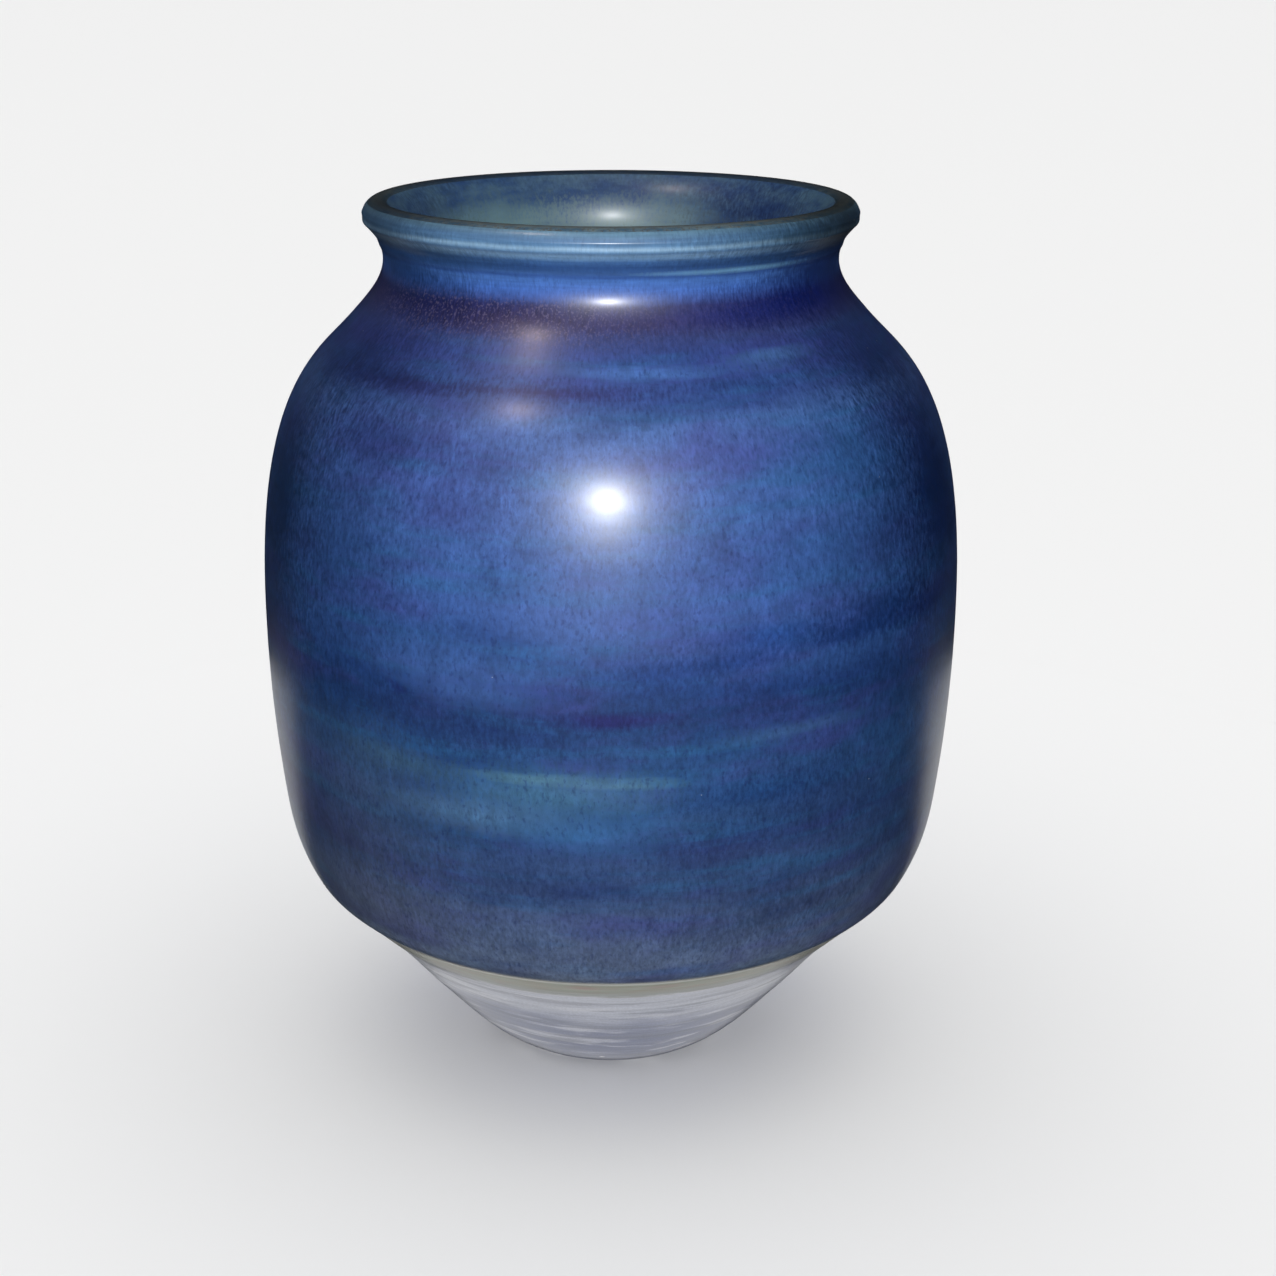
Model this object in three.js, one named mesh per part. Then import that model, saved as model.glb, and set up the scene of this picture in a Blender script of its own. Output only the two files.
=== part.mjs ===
// Stoneware vase, thrown on the wheel, turned at the foot and glazed. Millimetres, +Z up.
// The origin is the centre of the plane that the vase stands on.
//
// The fired clay is five turned sections, one above another: the turned foot, the flared base, the
// belly wall, the shoulder wall and the neck collar with its rolled lip. Four coats of glaze lie on
// it: the outer glaze, the thin wash under its edge, the thin glaze on top of the lip, and the liner.
import * as THREE from 'three';

// ---- driving dimensions: the bare clay ------------------------------------------------------
const height = 248.8; // from the standing plane to the top of the clay lip
const bellyRadius = 98.8; // the widest turn
const bellyHeight = 134;
const wall = 6;

const footRadius = 38.5; // outside of the turned foot
const footEdge = 4; // radius of its rounded edge
const footSlope = 1.3; // outward slope of the flare where it leaves that edge
const footRingWidth = 6; // the flat ring that touches the table
const footRecess = 3; // depth turned out inside that ring
const floorHeight = 12; // top of the floor inside
const footTop = 20; // joint between the foot and the flared base

const kneeHeight = 50; // the flare ends here and turns up into the wall
const kneeInset = 16.4; // how far the knee lies inside the widest turn
const kneeSlope = 1.08; // outward slope of the flare there
const wallHeight = 83; // the knee has turned into the wall here
const wallInset = 2.8; // how far the wall lies inside the widest turn there
const wallLean = 0.1; // outward slope of the wall there
const baseTop = 60; // joint between the flared base and the belly wall
const bellyTop = 150; // joint between the belly wall and the shoulder wall

const neckRadius = 61.8; // the narrowest turn of the neck
const neckRise = 23.1; // from the joint of the collar up to that turn
const lipRise = 12; // from that turn up to the middle of the rolled lip
const lipFlare = 5.2; // how far the lip reaches out beyond that turn
const collarSpread = 16.6; // how far the joint of the collar lies outside that turn
const collarSlope = 0.9; // inward slope of the shoulder at that joint

// ---- driving dimensions: the glaze ----------------------------------------------------------
const glazeThickness = 0.9;
const glazeLine = 53; // the outer glaze stops here
const washHeight = 9.2; // the thin wash reaches this far below the glaze line
const washThickness = 0.4;
const lipBreak = THREE.MathUtils.degToRad(48); // the outer glaze breaks here as it rounds the lip
const coatGap = 0.3; // between a coat and the clay, and between one coat and the next

// ---- how full the curves are, as shares of the stretch that each spans -----------------------
const flareFullness = 0.36;
const kneeFullness = 0.36;
const wallFullness = 0.4;
const shoulderFullness = 0.69;
const shoulderEndFullness = 0.15;
const neckRootFullness = 0.45;
const neckFullness = 0.28;

// ---- how finely the round is cut, and each curve ---------------------------------------------
const turns = 36;
const cuts = { footEdge: 2, flare: 4, knee: 5, wall: 2, shoulder: 7, neckRoot: 3, hollow: 3, lip: 4 };

// ---- worked out from the driving dimensions --------------------------------------------------
const lipRoll = wall / 2;
const lipCentre = new THREE.Vector2(neckRadius + lipFlare - lipRoll, height - lipRoll);
const neckTurn = new THREE.Vector2(neckRadius, lipCentre.y - lipRise);
const collarJoint = new THREE.Vector2(neckRadius + collarSpread, neckTurn.y - neckRise);
const bellyTurn = new THREE.Vector2(bellyRadius, bellyHeight);
const wallTurn = new THREE.Vector2(bellyRadius - wallInset, wallHeight);
const knee = new THREE.Vector2(bellyRadius - kneeInset, kneeHeight);
const footEdgeCentre = new THREE.Vector2(footRadius - footEdge, footEdge);

// The hollow of the neck is an arc that runs into the rolled lip without a corner.
const neckReach = lipCentre.x - neckTurn.x;
const hollowRadius = (neckReach ** 2 + lipRise ** 2 - lipRoll ** 2) / (2 * (lipRoll + neckReach));
const hollowCentre = new THREE.Vector2(neckTurn.x + hollowRadius, neckTurn.y);
const hollowEnd = lipCentre.clone().sub(hollowCentre).angle();

// ---- the outside of the clay, from the foot up, as curves with no corner between them ---------
function along(point, direction, distance) {
  return point.clone().addScaledVector(direction.clone().normalize(), distance);
}

function arc(centre, radius, from, to) {
  return new THREE.EllipseCurve(centre.x, centre.y, radius, radius, from, to, to < from);
}

// A curve that leaves and reaches its two ends in the given directions.
function sweep(start, leaving, end, reaching, fullness, endFullness = fullness) {
  const span = start.distanceTo(end);
  return new THREE.CubicBezierCurve(
    start,
    along(start, leaving, fullness * span),
    along(end, reaching, -endFullness * span),
    end,
  );
}

const upright = new THREE.Vector2(0, 1);
const lean = new THREE.Vector2(wallLean, 1);
const slope = new THREE.Vector2(-collarSlope, 1);
const footWay = new THREE.Vector2(footSlope, 1);
const kneeWay = new THREE.Vector2(kneeSlope, 1);
const footEdgeArc = arc(footEdgeCentre, footEdge, -Math.PI / 2, footWay.angle() - Math.PI / 2);
const flare = sweep(footEdgeArc.getPoint(1), footWay, knee, kneeWay, flareFullness);
const kneeCurve = sweep(knee, kneeWay, wallTurn, lean, kneeFullness);
const wallCurve = sweep(wallTurn, lean, bellyTurn, upright, wallFullness);
const shoulder = sweep(bellyTurn, upright, collarJoint, slope, shoulderFullness, shoulderEndFullness);
const neckRoot = sweep(collarJoint, slope, neckTurn, upright, neckRootFullness, neckFullness);
const hollow = arc(hollowCentre, hollowRadius, Math.PI, hollowEnd);
const lipOutside = arc(lipCentre, lipRoll, hollowEnd - Math.PI, lipBreak);
const lipTop = arc(lipCentre, lipRoll, lipBreak, hollowEnd);

const footEdgeCut = [footEdgeArc, cuts.footEdge];
const lipOutsideCut = [lipOutside, cuts.lip];
const wallCuts = [
  [flare, cuts.flare],
  [kneeCurve, cuts.knee],
  [wallCurve, cuts.wall],
  [shoulder, cuts.shoulder],
  [neckRoot, cuts.neckRoot],
  [hollow, cuts.hollow],
];

// Points along the curves, each moved square to its curve: outwards, or inwards when negative.
function trace(curves, offset) {
  const points = [];
  for (const [curve, count] of curves) {
    for (let i = points.length ? 1 : 0; i <= count; i += 1) {
      const tangent = curve.getTangent(i / count);
      const outward = new THREE.Vector2(tangent.y, -tangent.x);
      points.push(curve.getPoint(i / count).addScaledVector(outward, offset));
    }
  }
  return points;
}

const samePoint = 0.01; // a point nearer than this to a cut gives way to the cut itself

// The point of a rising outline at a height, and what lies above and below that height.
function crossing(points, level) {
  const next = points.findIndex((point) => point.y > level);
  const [from, to] = [points[next - 1], points[next]];
  const across = THREE.MathUtils.mapLinear(level, from.y, to.y, from.x, to.x);
  return new THREE.Vector2(across, level);
}

function above(points, level) {
  return [crossing(points, level), ...points.filter((point) => point.y > level + samePoint)];
}

function below(points, level) {
  return [...points.filter((point) => point.y < level - samePoint), crossing(points, level)];
}

// ---- turning outlines into named pieces ------------------------------------------------------
const clay = { color: 0xa9a6b4, roughness: 0.85, metalness: 0 };
const blueGlaze = { color: 0x24407f, roughness: 0.38, metalness: 0 };
const linerGlaze = { color: 0x5a6f7d, roughness: 0.42, metalness: 0 };
const oliveWash = { color: 0x83805c, roughness: 0.6, metalness: 0 };
const wornGlaze = { color: 0x6b6663, roughness: 0.5, metalness: 0 };

// The outline either starts and ends on the axis or ends where it starts.
function turned(name, finish, outline) {
  const geometry = new THREE.LatheGeometry(outline, turns).rotateX(Math.PI / 2);
  const mesh = new THREE.Mesh(geometry, new THREE.MeshStandardMaterial(finish));
  mesh.name = name;
  return mesh;
}

// A ring of wall: up its outer side, down its inner side, and shut.
function ring(name, finish, outer, inner) {
  return turned(name, finish, [...outer, ...inner.toReversed(), outer[0]]);
}

function onAxis(level) {
  return new THREE.Vector2(0, level);
}

// ---- the clay --------------------------------------------------------------------------------
const outside = trace([footEdgeCut, ...wallCuts, lipOutsideCut, [lipTop, cuts.lip]], 0);
const inside = trace(wallCuts, -wall);

function turnedFoot() {
  const ringInside = footEdgeCentre.x - footRingWidth;
  return turned('turned_foot', clay, [
    onAxis(footRecess),
    new THREE.Vector2(ringInside - footRecess, footRecess),
    new THREE.Vector2(ringInside, 0),
    ...below(outside, footTop),
    ...below(above(inside, floorHeight), footTop).toReversed(),
    onAxis(floorHeight),
  ]);
}

function wallSection(name, low, high) {
  return ring(name, clay, below(above(outside, low), high), below(above(inside, low), high));
}

// The inner side stops one point short, because the lip already ends there.
function neckCollar() {
  const inner = above(inside, collarJoint.y).slice(0, -1);
  return ring('neck_collar', clay, above(outside, collarJoint.y), inner);
}

// ---- the glaze -------------------------------------------------------------------------------
function outerGlaze() {
  const curves = [...wallCuts, lipOutsideCut];
  const outer = above(trace(curves, coatGap + glazeThickness), glazeLine);
  return ring('outer_glaze', blueGlaze, outer, above(trace(curves, coatGap), glazeLine));
}

function edgeWash() {
  const strip = (offset) => {
    const upper = below(trace(wallCuts, offset), glazeLine - coatGap);
    return above(upper, glazeLine - washHeight);
  };
  return ring('edge_wash', oliveWash, strip(coatGap + washThickness), strip(coatGap));
}

function lipGlaze() {
  const gapAngle = coatGap / lipRoll;
  const crest = arc(lipCentre, lipRoll, lipBreak + gapAngle, hollowEnd - gapAngle);
  const coat = (offset) => trace([[crest, cuts.lip]], offset);
  return ring('lip_glaze', wornGlaze, coat(coatGap + glazeThickness), coat(coatGap));
}

function linerCoat() {
  const onClay = floorHeight + coatGap;
  const onTop = onClay + glazeThickness;
  return turned('liner_glaze', linerGlaze, [
    onAxis(onClay),
    ...above(trace(wallCuts, -wall - coatGap), onClay),
    ...above(trace(wallCuts, -wall - coatGap - glazeThickness), onTop).toReversed(),
    onAxis(onTop),
  ]);
}

const vase = new THREE.Group();
vase.add(turnedFoot());
vase.add(wallSection('flared_base', footTop, baseTop));
vase.add(wallSection('belly_wall', baseTop, bellyTop));
vase.add(wallSection('shoulder_wall', bellyTop, collarJoint.y));
vase.add(neckCollar());
vase.add(outerGlaze());
vase.add(edgeWash());
vase.add(lipGlaze());
vase.add(linerCoat());

export default vase;
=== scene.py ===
"""A stoneware vase, thrown and turned on a wheel: fired clay under coats of glaze. Metres, +Z up."""
import math
from collections import Counter

import bpy
import numpy as np
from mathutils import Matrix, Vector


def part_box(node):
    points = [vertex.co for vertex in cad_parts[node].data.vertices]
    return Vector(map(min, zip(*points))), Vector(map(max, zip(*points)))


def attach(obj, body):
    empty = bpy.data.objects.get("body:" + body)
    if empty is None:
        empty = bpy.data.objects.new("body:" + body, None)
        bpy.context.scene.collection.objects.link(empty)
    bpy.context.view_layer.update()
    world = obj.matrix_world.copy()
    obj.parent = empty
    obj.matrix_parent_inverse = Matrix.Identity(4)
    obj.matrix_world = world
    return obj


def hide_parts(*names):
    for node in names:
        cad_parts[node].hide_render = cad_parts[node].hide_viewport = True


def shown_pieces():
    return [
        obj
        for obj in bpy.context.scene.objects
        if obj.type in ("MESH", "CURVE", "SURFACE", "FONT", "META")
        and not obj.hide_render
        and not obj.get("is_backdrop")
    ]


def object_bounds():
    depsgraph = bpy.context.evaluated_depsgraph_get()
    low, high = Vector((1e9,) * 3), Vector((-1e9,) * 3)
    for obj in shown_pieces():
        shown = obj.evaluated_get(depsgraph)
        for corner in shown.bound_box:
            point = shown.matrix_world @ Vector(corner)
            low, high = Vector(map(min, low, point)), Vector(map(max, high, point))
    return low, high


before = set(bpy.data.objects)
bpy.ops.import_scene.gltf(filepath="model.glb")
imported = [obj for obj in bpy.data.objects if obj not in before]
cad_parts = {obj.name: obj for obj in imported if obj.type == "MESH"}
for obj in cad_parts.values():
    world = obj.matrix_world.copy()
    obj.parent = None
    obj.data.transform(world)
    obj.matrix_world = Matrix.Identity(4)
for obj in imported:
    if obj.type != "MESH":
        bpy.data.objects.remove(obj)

cad_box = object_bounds()
MM = 0.001

# ---- the pot ---------------------------------------------------------------------------------
CLAY = ("turned_foot", "flared_base", "belly_wall", "shoulder_wall", "neck_collar")
COATS = ("outer_glaze", "lip_glaze", "liner_glaze")

CUTS_AROUND = 300
SHOWN = (1.2 * MM, math.radians(5))  # the most that a row may run and bend on a side that shows
TURNED_SIDE = (0.8 * MM, math.radians(5))  # the same on bare clay, which has fine marks
INSIDE = (2.0 * MM, math.radians(6))
COVERED = (5.0 * MM, math.radians(15))
CORNER = math.radians(30)  # a sharper bend than this is an edge of the outline
CURVE_STEP = 0.1 * MM

OUT_OF_ROUND = 0.003  # part of the radius
LINE_WANDER = 0.8 * MM  # how far the dipped edge of the glaze strays from level
WANDER_REACH = 14 * MM
EDGE_THINS = 7.0 * MM  # the glaze thins towards its edge along this much of it
THINNED = 0.5  # part of the coat that has gone at the edge
EDGE_ROLL = 0.7 * MM  # the glaze rolls over to the clay along this much of its edge
FOOT_EASE = 0.7 * MM
FLOOR_EASE = 9.0 * MM
FILM = 0.14 * MM  # the wash is a stain more than a coat
UNDER_FILM = 0.02 * MM
FILM_EASE = 1.2 * MM  # the film comes up to its thickness along this much of its lower edge
TUCK = 1.0 * MM  # the wash runs on under the glaze
WASH_OUT = 50 * MM  # the wash is further out than this
FINE_UNDER_GLAZE = 4 * MM  # the fine rows of the clay go on this far under the glaze
BACK_CLEAR = 0.3 * MM  # the back of a coat stays this far off the clay
SUNK = 0.05 * MM  # the edge of the glaze ends this far inside the clay
NO_BACK = 0.1 * WANDER_REACH  # the glaze has no back along this much of its edge
CLAY_STILL = 4 * MM  # the wheel's marks die away this near the axis under the foot
LINER_STILL = 6 * MM  # and this near it in the hollow
WHEEL_RADIUS = 80 * MM  # the pattern on the pot is laid out round a wheel of this size
WELD = 0.005 * MM
CREASE = math.radians(40)  # a sharper edge than this is shaded as an edge

glaze_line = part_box("outer_glaze")[0].z
lip_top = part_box("lip_glaze")[1].z
wash_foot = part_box("edge_wash")[0].z

# Lines that the fingers raised round the neck: distance below the lip, height, half width.
NECK_LINES = (
    (3.6 * MM, 0.15 * MM, 0.5 * MM),
    (5.8 * MM, 0.25 * MM, 0.7 * MM),
    (11.8 * MM, 0.22 * MM, 1.1 * MM),
    (33.5 * MM, -0.45 * MM, 6.0 * MM),
)


# ---- outlines --------------------------------------------------------------------------------
def cut_edges(node):
    """The edges of a node's section on the plane y = 0, as pairs of (radius, height)."""
    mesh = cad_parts[node].data
    on_plane = 1e-6
    spots = {}
    for v in mesh.vertices:
        if abs(v.co.y) < on_plane and v.co.x > -on_plane:
            spots[v.index] = (abs(round(v.co.x, 5)), round(v.co.z, 5))
    edges = set()
    for edge in mesh.edges:
        ends = frozenset(spots.get(i) for i in edge.vertices)
        if len(ends) == 2 and None not in ends:
            edges.add(ends)
    return edges


def clay_section():
    """The clay's outline from its middle underneath, up the outside and down the hollow."""
    found = Counter(edge for node in CLAY for edge in cut_edges(node))
    edges = [edge for edge, count in found.items() if count == 1]
    on_axis = [p for edge in edges for p in edge if p[0] == 0]
    walk = [min(on_axis, key=lambda p: p[1])]
    while True:
        onward = [p for edge in edges if walk[-1] in edge for p in edge if p not in walk]
        onward = [p for p in onward if not (p[0] == 0 and len(walk) == 1)]
        if not onward:
            return np.array(walk)
        walk.append(onward[0])


def beside(line, points):
    """Each point's distance from a line of points, and how far along the line it is."""
    a, b = line[:-1], line[1:]
    run = np.hypot(*(b - a).T)
    before = np.concatenate([[0], np.cumsum(run)[:-1]])
    away, along = [], []
    for p in points:
        t = np.clip(((p - a) * (b - a)).sum(1) / run**2, 0, 1)
        gaps = np.hypot(*(a + (b - a) * t[:, None] - p).T)
        best = int(gaps.argmin())
        away.append(gaps[best])
        along.append(before[best] + t[best] * run[best])
    return np.array(away), np.array(along)


def coat_faces(clay):
    """The points of the coats that face away from the clay, in order along it, for each coat."""
    faces = []
    for node in COATS:
        points = np.array(sorted({p for edge in cut_edges(node) for p in edge}))
        away, along = beside(clay, points)
        outer = away > (away.min() + away.max()) / 2
        faces.append(points[outer][along[outer].argsort()])
    return faces


def lengths(points):
    return np.concatenate([[0], np.cumsum(np.hypot(*np.diff(points, axis=0).T))])


def bends(points):
    """How far the line turns at each point but the two ends."""
    heading = np.unwrap(np.arctan2(*np.diff(points, axis=0).T[::-1]))
    return np.abs(np.diff(heading))


def smooth_run(points):
    """A natural cubic curve through the points, as close points."""
    s = lengths(points)
    if len(points) < 3:
        steps = np.linspace(0, 1, max(2, int(s[-1] / CURVE_STEP)))[:, None]
        return points[0] + (points[-1] - points[0]) * steps
    h = np.diff(s)
    slope = np.diff(points, axis=0) / h[:, None]
    hold = np.eye(len(s))
    load = np.zeros((len(s), 2))
    for i in range(1, len(s) - 1):
        hold[i, i - 1 : i + 2] = h[i - 1], 2 * (h[i - 1] + h[i]), h[i]
        load[i] = 6 * (slope[i] - slope[i - 1])
    m = np.linalg.solve(hold, load)
    at = np.linspace(0, s[-1], max(2, int(s[-1] / CURVE_STEP)))
    i = np.clip(np.searchsorted(s, at, side="right") - 1, 0, len(h) - 1)
    left, right, width = (at - s[i])[:, None], (s[i + 1] - at)[:, None], h[i][:, None]
    return (
        (m[i] * right**3 + m[i + 1] * left**3) / (6 * width)
        + (points[i] / width - m[i] * width / 6) * right
        + (points[i + 1] / width - m[i + 1] * width / 6) * left
    )


def curve_through(points, ease):
    """Close points along the outline: smooth between its corners, which are eased."""
    corners = [i + 1 for i, bend in enumerate(bends(points)) if bend > CORNER]
    stops = [0, *corners, len(points) - 1]
    curve = smooth_run(points[: stops[1] + 1])
    for start, stop in zip(stops[1:-1], stops[2:]):
        run = smooth_run(points[start : stop + 1])
        reach = min(ease, 0.4 * lengths(curve)[-1], 0.4 * lengths(run)[-1])
        back = int(reach / CURVE_STEP)
        p, q, corner = curve[-back - 1], run[back], run[0]
        t = np.linspace(0, 1, 2 * back + 1)[:, None]
        bow = p * (1 - t) ** 2 + corner * 2 * t * (1 - t) + q * t**2
        curve = np.concatenate([curve[: -back - 1], bow, run[back + 1 :]])
    return curve


def facing(curve):
    """The direction along the curve and the direction out of its surface, at each point."""
    along = np.gradient(curve, axis=0)
    along /= np.hypot(*along.T)[:, None]
    return along, np.stack([along[:, 1], -along[:, 0]], axis=1)


def nearest(curve, point):
    return int(np.hypot(*(curve - point).T).argmin())


def rows_between(curve, start, stop, finest):
    """Where the rows go from one place on the curve to another: closer where it bends."""
    step, bend = finest
    part = curve[start : stop + 1]
    turn = np.concatenate([[0], bends(part), [0]])
    cost = lengths(part) / step + np.cumsum(turn) / bend
    wanted = np.linspace(0, cost[-1], max(2, math.ceil(cost[-1]) + 1))
    return start + np.unique(np.searchsorted(cost, wanted - 1e-9).clip(0, len(part) - 1))


def smoothstep(x):
    x = np.clip(x, 0, 1)
    return x * x * (3 - 2 * x)


class Outline:
    """The rows of one piece: place, outward push, slide along the wall, and distance up the wall."""

    def __init__(self):
        self.place, self.push, self.slide, self.up = [], [], [], []

    def add(self, place, push, slide, up):
        self.place.extend(place)
        self.push.extend(push)
        self.slide.extend(slide)
        self.up.extend(up)

    def close(self):
        for rows in (self.place, self.push, self.slide, self.up):
            rows.append(rows[0])


# ---- turning ---------------------------------------------------------------------------------
def feed(tree, socket, value):
    if isinstance(value, bpy.types.NodeSocket):
        tree.links.new(value, socket)
    else:
        socket.default_value = value


def put(tree, kind, inputs=None, **settings):
    """Adds a node with its settings, and feeds its inputs by name or number."""
    node = tree.nodes.new(kind)
    for key, value in settings.items():
        setattr(node, key, value)
    for key, value in (inputs or {}).items():
        feed(tree, node.inputs[key], value)
    return node


def calc(tree, operation, *terms):
    return put(tree, "ShaderNodeMath", dict(enumerate(terms)), operation=operation).outputs[0]


def vector(tree, x, y, z):
    return put(tree, "ShaderNodeCombineXYZ", {"X": x, "Y": y, "Z": z}).outputs[0]


def part(tree, whole, axis):
    return put(tree, "ShaderNodeSeparateXYZ", {0: whole}).outputs[axis]


def noise(tree, where, detail=2.0, roughness=0.5, distortion=0.0):
    settings = {"Scale": 1.0, "Detail": detail, "Roughness": roughness}
    node = put(tree, "ShaderNodeTexNoise", settings | {"Distortion": distortion, "Vector": where})
    return node.outputs[0]


def wheel_tree():
    """Turns an outline round the axis, with the small faults of a pot made by hand."""
    tree = bpy.data.node_groups.new("turned on the wheel", "GeometryNodeTree")
    face = tree.interface
    face.new_socket("Outline", in_out="INPUT", socket_type="NodeSocketGeometry")
    face.new_socket("Cuts around", in_out="INPUT", socket_type="NodeSocketInt")
    for name in ("Out of round", "Ring depth", "Ring spacing", "Ring drift", "Line wander"):
        face.new_socket(name, in_out="INPUT", socket_type="NodeSocketFloat")
    face.new_socket("Finish", in_out="INPUT", socket_type="NodeSocketMaterial")
    face.new_socket("Piece", in_out="OUTPUT", socket_type="NodeSocketGeometry")
    given = tree.nodes.new("NodeGroupInput").outputs
    outline, cuts = given["Outline"], given["Cuts around"]

    count = put(tree, "GeometryNodeAttributeDomainSize", {"Geometry": outline}).outputs[0]
    columns = calc(tree, "ADD", cuts, 1.0)
    sheet = put(tree, "GeometryNodeMeshGrid", {"Vertices X": columns, "Vertices Y": count})
    index = tree.nodes.new("GeometryNodeInputIndex").outputs[0]
    row = calc(tree, "FLOORED_MODULO", index, count)
    column = calc(tree, "FLOOR", calc(tree, "DIVIDE", index, count))
    angle = calc(tree, "MULTIPLY", calc(tree, "DIVIDE", column, cuts), math.tau)
    across, ahead = calc(tree, "COSINE", angle), calc(tree, "SINE", angle)

    def from_row(field, kind):
        node = put(tree, "GeometryNodeSampleIndex", data_type=kind, domain="POINT")
        feed(tree, node.inputs["Geometry"], outline)
        feed(tree, node.inputs["Value"], field)
        feed(tree, node.inputs["Index"], row)
        return node.outputs[0]

    def kept(name, kind):
        node = put(tree, "GeometryNodeInputNamedAttribute", {"Name": name}, data_type=kind)
        return from_row(node.outputs[0], kind)

    place = from_row(tree.nodes.new("GeometryNodeInputPosition").outputs[0], "FLOAT_VECTOR")
    push, slide = kept("push", "FLOAT_VECTOR"), kept("slide", "FLOAT_VECTOR")
    up = kept("up", "FLOAT")
    height = part(tree, place, "Z")

    def on_circle(radius, level):
        x, y = calc(tree, "MULTIPLY", across, radius), calc(tree, "MULTIPLY", ahead, radius)
        return vector(tree, x, y, level)

    def round_noise(reach, level, detail):
        return noise(tree, on_circle(reach, level), detail)

    rings = round_noise(given["Ring drift"], calc(tree, "DIVIDE", up, given["Ring spacing"]), 2.0)
    ring = calc(tree, "MULTIPLY", calc(tree, "SUBTRACT", rings, 1.0), given["Ring depth"])
    stray = calc(tree, "SUBTRACT", round_noise(reach=2.3, level=7.0, detail=3.0), 0.5)
    stray = calc(tree, "MULTIPLY", stray, calc(tree, "MULTIPLY", given["Line wander"], 2.0))
    lean = round_noise(reach=0.8, level=calc(tree, "MULTIPLY", height, 4.0), detail=1.0)
    squeeze = calc(tree, "SUBTRACT", 1.0, calc(tree, "MULTIPLY", lean, given["Out of round"]))

    def scaled(value, factor):
        node = put(tree, "ShaderNodeVectorMath", {0: value}, operation="SCALE")
        feed(tree, node.inputs["Scale"], factor)
        return node.outputs[0]

    def added(a, b):
        return put(tree, "ShaderNodeVectorMath", {0: a, 1: b}, operation="ADD").outputs[0]

    worked = added(added(place, scaled(push, ring)), scaled(slide, stray))
    worked = put(tree, "ShaderNodeSeparateXYZ", {0: worked}).outputs
    radius = calc(tree, "MULTIPLY", worked["X"], squeeze)
    x, y = calc(tree, "MULTIPLY", radius, across), calc(tree, "MULTIPLY", radius, ahead)
    turned = vector(tree, x, y, worked["Z"])
    pot = put(tree, "GeometryNodeSetPosition", {"Geometry": sheet.outputs["Mesh"]})
    feed(tree, pot.inputs["Position"], turned)

    laid_out = put(
        tree,
        "GeometryNodeStoreNamedAttribute",
        {"Geometry": pot.outputs[0], "Name": "wheel", "Value": on_circle(WHEEL_RADIUS, up)},
        data_type="FLOAT_VECTOR",
        domain="POINT",
    )
    joined = put(tree, "GeometryNodeMergeByDistance", {"Geometry": laid_out.outputs[0]})
    joined.inputs["Distance"].default_value = WELD
    smooth = put(tree, "GeometryNodeSetShadeSmooth", {"Geometry": joined.outputs[0]})
    whole = put(tree, "GeometryNodeRealizeInstances", {"Geometry": smooth.outputs[0]})
    glazed = put(tree, "GeometryNodeSetMaterial", {"Geometry": whole.outputs[0]})
    feed(tree, glazed.inputs["Material"], given["Finish"])
    result = tree.nodes.new("NodeGroupOutput")
    tree.links.new(glazed.outputs[0], result.inputs["Piece"])
    return tree


WHEEL = wheel_tree()


def turn_piece(name, outline, finish, **marks):
    """One finished piece, turned from its outline."""
    mesh = bpy.data.meshes.new(name + "_outline")
    points = [(r, 0, z) for r, z in outline.place]
    mesh.from_pydata(points, [(i, i + 1) for i in range(len(points) - 1)], [])
    for label, rows in (("push", outline.push), ("slide", outline.slide)):
        flat = np.array([(r, 0, z) for r, z in rows], dtype=np.float32).ravel()
        mesh.attributes.new(label, "FLOAT_VECTOR", "POINT").data.foreach_set("vector", flat)
    up = np.array(outline.up, dtype=np.float32)
    mesh.attributes.new("up", "FLOAT", "POINT").data.foreach_set("value", up)
    blank = bpy.data.objects.new(name + "_blank", mesh)
    bpy.context.collection.objects.link(blank)
    wheel = blank.modifiers.new("wheel", "NODES")
    wheel.node_group = WHEEL
    wanted = {"Cuts around": CUTS_AROUND, "Out of round": OUT_OF_ROUND, "Finish": finish}
    wanted |= {label.replace("_", " ").capitalize(): value for label, value in marks.items()}
    for item in WHEEL.interface.items_tree:
        if item.in_out == "INPUT" and item.name in wanted:
            wheel[item.identifier] = wanted[item.name]
    graph = bpy.context.evaluated_depsgraph_get()
    seen = blank.evaluated_get(graph)
    shape = bpy.data.meshes.new_from_object(seen, preserve_all_data_layers=True, depsgraph=graph)
    shape.name = name
    bpy.data.objects.remove(blank)
    bpy.data.meshes.remove(mesh)
    shape.set_sharp_from_angle(angle=CREASE)
    piece = bpy.data.objects.new(name, shape)
    bpy.context.collection.objects.link(piece)
    return piece


# ---- finishes --------------------------------------------------------------------------------
def shade(red, green, blue):
    """A colour as it looks, 0 to 255, as the light values that the shader takes."""
    parts = (c / 255 for c in (red, green, blue))
    return (*(c / 12.92 if c < 0.04045 else ((c + 0.055) / 1.055) ** 2.4 for c in parts), 1.0)


def spread(tree, value, low, high, to_low=0.0, to_high=1.0):
    terms = {0: value, 1: low, 2: high, 3: to_low, 4: to_high}
    return put(tree, "ShaderNodeMapRange", terms).outputs[0]


def mixed(tree, amount, a, b, blend="MIX"):
    node = put(tree, "ShaderNodeMix", data_type="RGBA", blend_type=blend)
    for socket, value in zip((node.inputs[0], node.inputs[6], node.inputs[7]), (amount, a, b)):
        feed(tree, socket, value)
    return node.outputs[2]


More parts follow.
